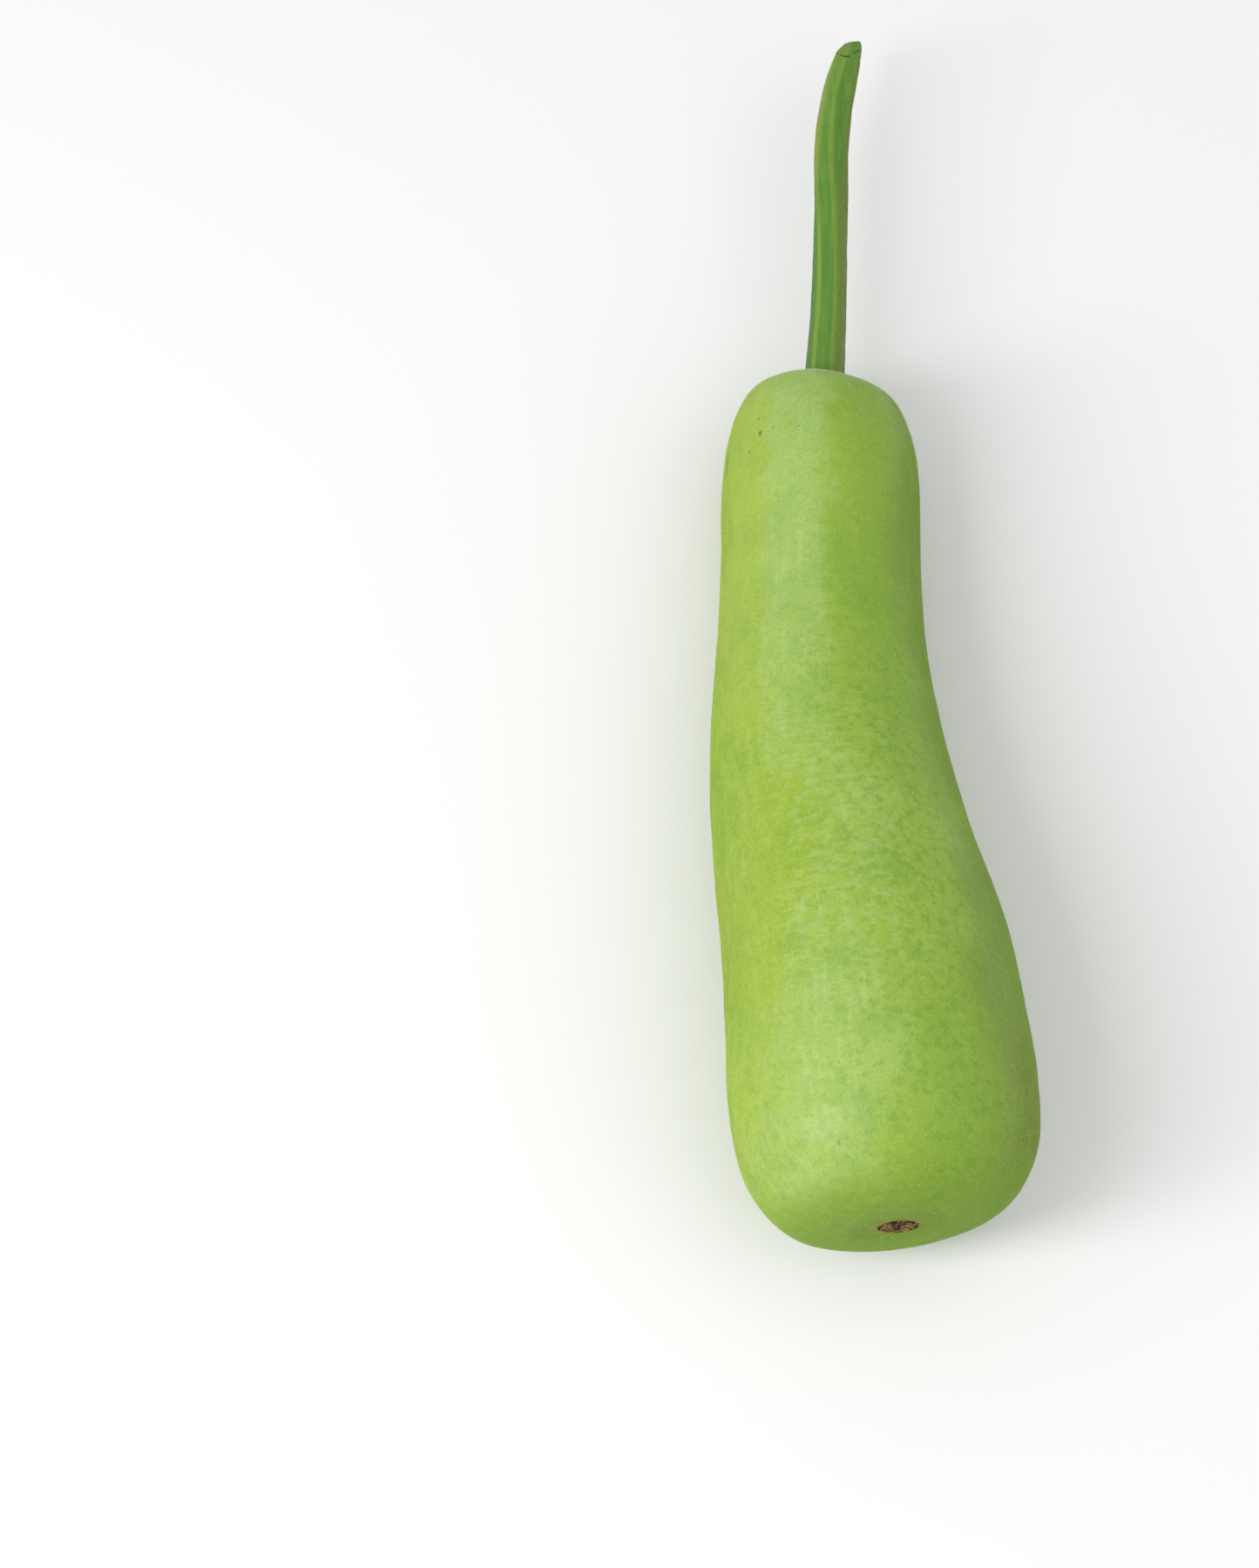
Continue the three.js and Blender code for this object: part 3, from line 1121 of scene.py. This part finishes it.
def flakes_tree() -> NodeTree:
    """Small tilted plates scattered over a face.

    Returns:
        The tree.
    """
    tree = Growth("cork_flakes", Spacing=0.0007, Size=0.0007, Thickness=0.00012, Tilt=0.6, Seed=4)
    scatter = tree.add(
        "GeometryNodeDistributePointsOnFaces",
        {"Mesh": tree["Geometry"], "Distance Min": tree["Spacing"], "Density Max": 4000000.0,
         "Seed": tree["Seed"]},
        distribute_method="POISSON",
    )
    plate = tree.get(
        "GeometryNodeMeshCylinder",
        {"Vertices": 6, "Radius": tree["Size"], "Depth": tree["Thickness"]},
    )
    back = tree.times(tree["Tilt"], -1.0)
    most = tree.combine(tree["Tilt"], tree["Tilt"], tree["Tilt"])
    wild = tree.random(tree.combine(back, back, back), most, tree["Seed"])
    size = tree.random((0.4, 0.3, 0.5), (1.2, 0.9, 1.6), 17)
    points, normal, _ = scatter.outputs
    return tree.end(tree.plant(points, plate, tree.vector("ADD", normal, wild), size))


def stem_tree() -> NodeTree:
    """Ribbed stem along a path whose radius is the stem's own.

    Returns:
        The tree.
    """
    tree = Growth(
        "ribbed_stem", Ribs=5.0, Rib_Depth=0.07, Rib_Angle=0.0, Rib_Twist=0.0, Veins=6.0,
        Vein_Angle=0.0, Vein_Twist=0.0, Twist_Start=0.305, Twist_End=0.375, Cut_Start=0.383,
        Cut_End=0.389, Cut_Side=0.34, Cut_Down=0.22, Strand_Depth=0.00012,
    )
    path = tree.get("GeometryNodeMeshToCurve", {"Mesh": tree["Geometry"]})
    kept = tree.add("GeometryNodeCaptureAttribute", {"Geometry": path})
    sources = {"centre": tree.place, "tangent": tree.get("GeometryNodeInputTangent")}
    for label, source in sources.items():
        kept.capture_items.new("VECTOR", label)
        tree.feed(kept.inputs[label], source)
    centre, tangent = kept.outputs["centre"], kept.outputs["tangent"]
    curve = {"Curve": kept.outputs["Geometry"]}
    upright = tree.get("GeometryNodeSetCurveNormal", curve, mode="Z_UP")
    girth, along, _ = tree.split(tree.straight())
    outline = {"Resolution": 80, "Radius": 1.0}
    tube = tree.sweep(upright, outline, Scale=girth, **{"Fill Caps": True})

    spoke = tree.vector("SUBTRACT", tree.place, centre)
    side = tree.vector("NORMALIZE", tree.vector("CROSS_PRODUCT", tangent, (0.0, 0.0, 1.0)))
    across = tree.measure("DOT_PRODUCT", spoke, side)
    height = tree.measure("DOT_PRODUCT", spoke, tree.vector("CROSS_PRODUCT", side, tangent))
    angle = tree.math("ARCTAN2", across, height)
    twisted = tree.ramp(along, tree["Twist Start"], tree["Twist End"])
    waves = []
    for kind in ("Rib", "Vein"):
        turn = tree.math("MULTIPLY_ADD", twisted, tree[f"{kind} Twist"], tree[f"{kind} Angle"])
        turn = tree.times(tree.math("SUBTRACT", angle, turn), tree[f"{kind}s"])
        waves.append(tree.math("COSINE", turn))

    strands = tree.vector("MULTIPLY", tree.place, (1.0, 0.05, 1.0))
    grain = tree.math("MULTIPLY_ADD", tree.sway(tree.place, 120.0), 1.6, tree.sway(strands, 700.0))
    grain = tree.times(grain, tree["Strand Depth"])
    depth = tree.times(waves[0], tree["Rib Depth"])
    relief = tree.math("MULTIPLY_ADD", depth, tree.measure("LENGTH", spoke), grain)
    outward = tree.scale(tree.vector("NORMALIZE", spoke), relief)
    share = tree.ramp(along, tree["Cut Start"], tree["Cut End"])
    aside, down = tree.times(across, tree["Cut Side"]), tree.times(height, tree["Cut Down"])
    slant = tree.times(tree.math("SUBTRACT", aside, down), share)
    onward = tree.scale(tangent, slant)
    shaped = tree.move(tube, Offset=tree.vector("ADD", outward, onward))
    veins = tree.ramp(waves[1], -1.0, 1.0)
    noted = tree.get(
        "GeometryNodeStoreNamedAttribute",
        {"Geometry": shaped, "Name": STRAIGHT, "Value": tree.combine(across, along, veins)},
        data_type="FLOAT_VECTOR",
    )
    return tree.end(tree.smooth(noted))


class Trees:
    """Geometry Nodes trees for relief, down, ragged rims, flakes and the stem."""

    def __init__(self) -> None:
        """Builds every tree once."""
        self.relief = relief_tree()
        self.down = down_tree()
        self.rim = rim_tree()
        self.flakes = flakes_tree()
        self.stem = stem_tree()


# ---------------- sub-assemblies


@dataclass
class FruitSkin:
    """The swollen fruit: a bent lathe with shallow lobes, dimples and ripples, in millimetres."""

    axis: GrowthAxis
    trees: Trees
    skin: Material
    sides: int = 240
    ring_gap: float = 0.86
    swelling: float = 0.3
    # Height, number round the fruit, pitch and phase of each set of lobes.
    lobes: tuple[tuple[float, ...], ...] = (
        (0.6, 2.0, 34.0, 0.0), (0.5, 3.0, -21.0, 1.0), (0.3, 1.0, 13.0, 0.0)
    )
    scar_seat: Pair = (2.6, 5.6)
    stem_seat: Pair = (270.2, 6.6)
    blossom_tilt: float = 1.0
    stem_tilt: float = 1.2

    def profile(self) -> np.ndarray:
        """Lays rings evenly along the skin.

        Returns:
            Station and radius of each ring.
        """
        dense = smooth_curve(SKIN_OUTLINE, 60)
        steps = np.linalg.norm(np.diff(dense, axis=0), axis=1)
        length = np.concatenate([[0.0], np.cumsum(steps)])
        wanted = np.linspace(0.0, length[-1], int(length[-1] / self.ring_gap) + 1)
        skin = np.stack([np.interp(wanted, length, dense[:, part]) for part in (0, 1)], -1)
        return np.vstack([self.scar_seat, skin, self.stem_seat])

    def base(self) -> Object:
        """Builds the bent lathe, with shallow lobes and its two ends a little tilted.

        Returns:
            The mesh object that the skin grows from.
        """
        stations, radii = self.profile().T[:, :, None]
        angle = circle(self.sides)[None, :]
        fade = smoothstep(stations, 8, 30) * (1.0 - smoothstep(stations, 240, 262))
        swell = sum(
            rise * np.sin(count * angle + stations / pitch + phase)
            for rise, count, pitch, phase in self.lobes
        )
        tilt = self.blossom_tilt * (1.0 - smoothstep(stations, 10, 34))
        tilt = tilt - self.stem_tilt * smoothstep(stations, 240, 264)
        moved = stations + tilt * smoothstep(radii, 8, 18) * np.sin(angle)
        wide = radii + self.swelling * fade * swell
        return lathe("fruit_base", self.axis, wide, moved, (self.scar_seat[0], self.stem_seat[0]))

    def build(self) -> Object:
        """Makes the dressed skin.

        Returns:
            The finished piece.
        """
        return grow(
            self.base(), self.trees.relief, "fruit_skin", Slot.SKIN, "gourd_body",
            Dimple_Scale=62.0, Dimple_Depth=0.0006, Ripple_Scale=110.0, Ripple_Height=0.0002,
            Seed=3.0, Material=self.skin,
        )


@dataclass
class Down:
    """Fine down of the young fruit, thicker round its stem.

    Hairs are counted per square metre, and their sizes are in metres.
    """

    trees: Trees
    skin: Object
    down: Material
    body_hairs: float = 160000.0
    shoulder_hairs: float = 2600000.0
    collar_hairs: float = 16000000.0
    length: float = 0.0006
    thickness: float = 0.00005

    def build(self) -> None:
        """Makes the hairs over the finished skin."""
        grow(
            keep("down_base", self.skin.data.copy()), self.trees.down, "fruit_down", Slot.SKIN,
            Density=self.body_hairs, Shoulder_Density=self.shoulder_hairs,
            Collar_Density=self.collar_hairs, Length=self.length, Thickness=self.thickness,
            Material=self.down,
        )


@dataclass
class Stem:
    """The ribbed stem, its torn rind near the end and its pale cut.

    Sizes are in millimetres and angles in degrees, apart from the dip's, in radians.
    """

    axis: GrowthAxis
    trees: Trees
    rind: Material
    cut: Material
    torn: Material
    step: float = 0.45
    rib_count: float = 5.0
    rib_depth: float = 0.05
    rib_angle: float = -38.0
    rib_twist: float = -45.5
    vein_count: float = 6.0
    vein_angle: float = -38.0
    vein_twist: float = -33.5
    crease_points: int = 150
    crease_station: float = 384.8
    crease_slant: float = 1.05
    crease_sink: float = 0.12
    dip_angle: float = -0.17
    dip_depth: float = 2.5
    dip_width: float = 0.7
    slant_station: float = 383.0
    cut_station: float = 388.4
    cut_side: float = 0.46
    cut_down: float = 0.22
    cut_sides: int = 48
    # Rings of the cut's lens: how far each stands out of the cut, and its radius.
    cut_lens: tuple[Pair, ...] = (
        (-0.2, 1.0), (-0.2, 1.6), (0.0, 1.75), (0.12, 1.4), (0.2, 0.8)
    )

    def radius_at(self, stations: np.ndarray) -> np.ndarray:
        """Reads the stem's radius at stations."""
        outline = smooth_curve(STEM_OUTLINE, 40)
        return np.interp(stations, outline[:, 0], outline[:, 1])

    def build(self) -> None:
        """Makes rind, torn ring and cut."""
        self.build_rind()
        self.build_crease()
        self.build_cut()

    def build_rind(self) -> None:
        """Makes the ribbed stem from its foot to the cut."""
        foot, tip = STEM_OUTLINE[0][0], self.cut_station
        count = int((tip - foot) / self.step)
        stations = np.append(np.linspace(foot, tip, count), tip + 0.01)
        radii = self.radius_at(stations)
        level = np.zeros_like(radii)
        edges = [(index, index + 1) for index in range(count)]
        path = mesh_object("stem_path", self.axis.place(level, stations, level), [], edges)
        note(path, np.stack([radii, stations, level], -1))
        grow(
            path, self.trees.stem, "stem_skin", Slot.STEM, "stem",
            Ribs=self.rib_count, Rib_Depth=self.rib_depth,
            Rib_Angle=math.radians(self.rib_angle), Rib_Twist=math.radians(self.rib_twist),
            Veins=self.vein_count, Vein_Angle=math.radians(self.vein_angle),
            Vein_Twist=math.radians(self.vein_twist), Cut_Side=self.cut_side,
            Cut_Down=self.cut_down, Strand_Depth=0.0003, Material=self.rind,
        )

    def build_crease(self) -> None:
        """Makes the torn ring where the rind has shrunk back."""
        angle = circle(self.crease_points)
        aside = (angle - self.dip_angle + np.pi) % TURN - np.pi
        dip = self.dip_depth * np.exp(-((aside / self.dip_width) ** 2))
        stations = self.crease_station + self.crease_slant * np.sin(angle) - dip
        ribs = np.cos(self.rib_count * (angle - math.radians(self.rib_angle + self.rib_twist)))
        radii = self.radius_at(stations) * (1.0 + self.rib_depth * ribs) - self.crease_sink
        across, height = radii * np.sin(angle), radii * np.cos(angle)
        slant = self.cut_side * across - self.cut_down * height
        stations = stations + smoothstep(stations, self.slant_station, self.cut_station) * slant
        points = self.axis.place(across, stations, height)
        grow(
            closed_path("torn_path", points), self.trees.rim, "stem_torn_ring", Slot.STEM,
            Thickness=0.0004, Ragged=0.0007, Grain=520.0, Material=self.torn,
        )

    def build_cut(self) -> None:
        """Makes the pale face of the cut, a shallow lens with its edge inside the rind."""
        angle = circle(self.cut_sides)[None, :]
        lift, radius = np.array(self.cut_lens).T[:, :, None]
        uneven = 1.0 + 0.03 * np.sin(5.0 * angle + 1.0) + 0.02 * np.sin(9.0 * angle)
        radii = radius * uneven
        across, height = radii * np.sin(angle), radii * np.cos(angle)
        stations = self.cut_station + lift + self.cut_side * across - self.cut_down * height
        poles = (self.cut_station - 0.2, self.cut_station + 0.16)
        face = lathe("stem_cut", self.axis, radii, stations, poles)
        face.data.materials.append(self.cut)
        dress(face, Slot.STEM)


@dataclass
class BlossomScar:
    """The corky scar where the flower fell off, with its dark torn lip, in millimetres."""

    axis: GrowthAxis
    trees: Trees
    cork: Material
    lip: Material
    flake: Material
    sides: int = 144
    face: tuple[Pair, ...] = (
        (0.9, 0.0), (0.7, 2.0), (0.5, 4.0), (0.3, 5.2), (0.9, 6.0)
    )
    back_station: float = 2.3
    back_radii: tuple[float, ...] = (6.0, 5.0, 3.5, 2.0, 1.0)
    ragged: float = 0.03
    rough: float = 0.18
    lip_points: int = 190
    lip_radius: float = 5.4
    lip_station: float = 0.75
    flake_sides: int = 40
    flake_rings: tuple[Pair, ...] = ((0.8, 1.0), (0.7, 2.2), (0.6, 3.6), (0.5, 5.0))

    def outline(self, radius: np.ndarray, angle: np.ndarray) -> np.ndarray:
        """Gives the ragged radius of the scar."""
        return radius * (1.0 + self.ragged * np.sin(7.0 * angle + 2.0 * np.sin(3.0 * angle)))

    def build(self) -> None:
        """Makes cork, lip and flakes."""
        grow(
            self.base(), self.trees.relief, "scar_cork", Slot.SCAR, "blossom_scar",
            Dimple_Scale=520.0, Dimple_Depth=0.0006, Ripple_Height=0.0, Calm_Radius=-0.002,
            Full_Radius=-0.001, Seed=7.0, Material=self.cork,
        )
        self.build_lip()
        self.build_flakes()

    def base(self) -> Object:
        """Builds the cork plug, from the middle of its face round to its back.

        Returns:
            The mesh object that the cork grows from.
        """
        front = smooth_curve(self.face, 5)[1:]
        back = np.array([(self.back_station, radius) for radius in self.back_radii])
        side = np.linspace(front[-1], back[0], 5)[1:]
        stations, radius = np.vstack([front, side, back[1:]]).T[:, :, None]
        angle = circle(self.sides)[None, :]
        wave = self.rough * np.sin(4.0 * angle + radius) * np.cos(9.0 * angle - radius)
        shift = np.where(stations < 1.0, wave, 0.0) * smoothstep(radius, 0.0, 1.5)
        poles = (self.face[0][0], self.back_station)
        return lathe("scar_base", self.axis, self.outline(radius, angle), stations + shift, poles)

    def build_lip(self) -> None:
        """Makes the ragged lip round the scar."""
        angle = circle(self.lip_points)
        radius = self.outline(np.full_like(angle, self.lip_radius), angle)
        stations = self.lip_station + 0.2 * np.sin(5.0 * angle)
        points = self.axis.place(radius * np.sin(angle), stations, radius * np.cos(angle))
        grow(
            closed_path("lip_path", points), self.trees.rim, "scar_lip", Slot.SCAR,
            Thickness=0.0010, Ragged=0.0014, Grain=520.0, Material=self.lip,
        )

    def build_flakes(self) -> None:
        """Makes loose flakes over the face of the scar."""
        sides = self.flake_sides
        stations, radius = np.array(self.flake_rings).T[:, :, None]
        angle = circle(sides)[None, :]
        across, height = radius * np.sin(angle), radius * np.cos(angle)
        points = self.axis.place(across, stations + 0.0 * angle, height).reshape(-1, 3)
        faces = []
        for low in range(0, len(points) - sides, sides):
            high = low + sides
            for side in range(sides):
                after = (side + 1) % sides
                faces.append((low + side, high + side, high + after, low + after))
        grow(
            mesh_object("flake_base", points, faces), self.trees.flakes, "scar_flakes", Slot.SCAR,
            Spacing=0.0008, Size=0.0007, Tilt=0.5, Material=self.flake,
        )


@dataclass
class Studio:
    """Pale floor, soft light from the upper left, and a camera that looks down, in metres."""

    target: Triple = (-0.0732, -0.0549, 0.040)
    pitch: float = 73.0
    distance: float = 1.5
    lens: float = 113.64
    sensor: float = 36.0
    farthest: float = 20.0
    floor_reach: float = 3.0
    floor_white: float = 0.8
    surroundings: float = 0.72

    def build(self) -> None:
        """Makes floor, lights, surroundings and camera."""
        self.build_floor()
        self.lamp("key_light", (-0.95, -0.42, 1.0), (0.42, 1.2), 12.0)
        self.lamp("fill_light", (0.7, -0.3, 1.5), (1.6, 1.6), 6.0)
        world = bpy.data.worlds.new("studio_world")
        world.use_nodes = True
        sky = world.node_tree.nodes["Background"].inputs
        sky["Color"].default_value = (1.0, 1.0, 1.0, 1.0)
        sky["Strength"].default_value = self.surroundings
        bpy.context.scene.world = world
        self.build_camera()
        bpy.context.scene.view_settings.view_transform = "Standard"

    def build_floor(self) -> None:
        """Makes the plain pale floor."""
        corners = np.array([(-1, -1, 0), (1, -1, 0), (1, 1, 0), (-1, 1, 0)], float)
        floor = mesh_object("studio_floor", corners * self.floor_reach / MM, [(0, 1, 2, 3)])
        paint = bpy.data.materials.new("studio_white")
        paint.use_nodes = True
        shader = paint.node_tree.nodes["Principled BSDF"]
        shader.inputs["Base Color"].default_value = (*[self.floor_white] * 3, 1.0)
        shader.inputs["Roughness"].default_value = 0.9
        floor.data.materials.append(paint)

    def lamp(self, name: str, place: Triple, size: Pair, power: float) -> None:
        """Makes an area light that points straight across at the gourd.

        Args:
            name: Name of the light.
            place: Where it is, in metres.
            size: Its width, and its length along the gourd, in metres.
            power: Power in watts.
        """
        data = bpy.data.lights.new(name, "AREA")
        data.shape = "RECTANGLE"
        data.size, data.size_y = size
        data.energy = power
        made = keep(name, data)
        made.location = place
        aim = Vector((0.0, place[1], self.target[2])) - Vector(place)
        made.rotation_euler = aim.to_track_quat("-Z", "Y").to_euler()

    def build_camera(self) -> None:
        """Makes the camera."""
        data = bpy.data.cameras.new("studio_camera")
        data.lens = self.lens
        data.sensor_width = self.sensor
        data.clip_end = self.farthest
        made = keep("studio_camera", data)
        tilt = math.radians(90.0 - self.pitch)
        back = Vector((0.0, -math.sin(tilt), math.cos(tilt))) * self.distance
        made.location = Vector(self.target) + back
        made.rotation_euler = (tilt, 0.0, 0.0)
        bpy.context.scene.camera = made


# ---------------- the whole gourd


def main() -> None:
    """Builds every sub-assembly in order."""
    logging.basicConfig(level=logging.INFO, format="%(name)s %(message)s")
    effects, trees, axis = Effects(), Trees(), GrowthAxis()
    skin = FruitSkin(axis, trees, SkinFinish(effects).build()).build()
    Down(trees, skin, DownFinish(effects).build()).build()
    cork = CorkFinish(effects, "scar_cork_brown").build()
    lip = CorkFinish(
        effects, "dry_dark_rind", tan=colour(42, 30, 20), pale=colour(70, 50, 30),
        red=colour(110, 42, 26), cracks=0.8,
    ).build()
    flake = CorkFinish(
        effects, "scar_flake_tan", tan=colour(140, 112, 56), pale=colour(192, 162, 96),
        red=colour(84, 58, 28), cracks=0.9, soot=0.4,
    ).build()
    torn = CorkFinish(
        effects, "dry_torn_rind", tan=colour(70, 54, 28), pale=colour(128, 98, 52),
        red=colour(90, 60, 30), cracks=0.7,
    ).build()
    Stem(axis, trees, StemFinish(effects).build(), CutFinish(effects).build(), torn).build()
    BlossomScar(axis, trees, cork, lip, flake).build()
    Studio().build()


if __name__ == "__main__":
    main()
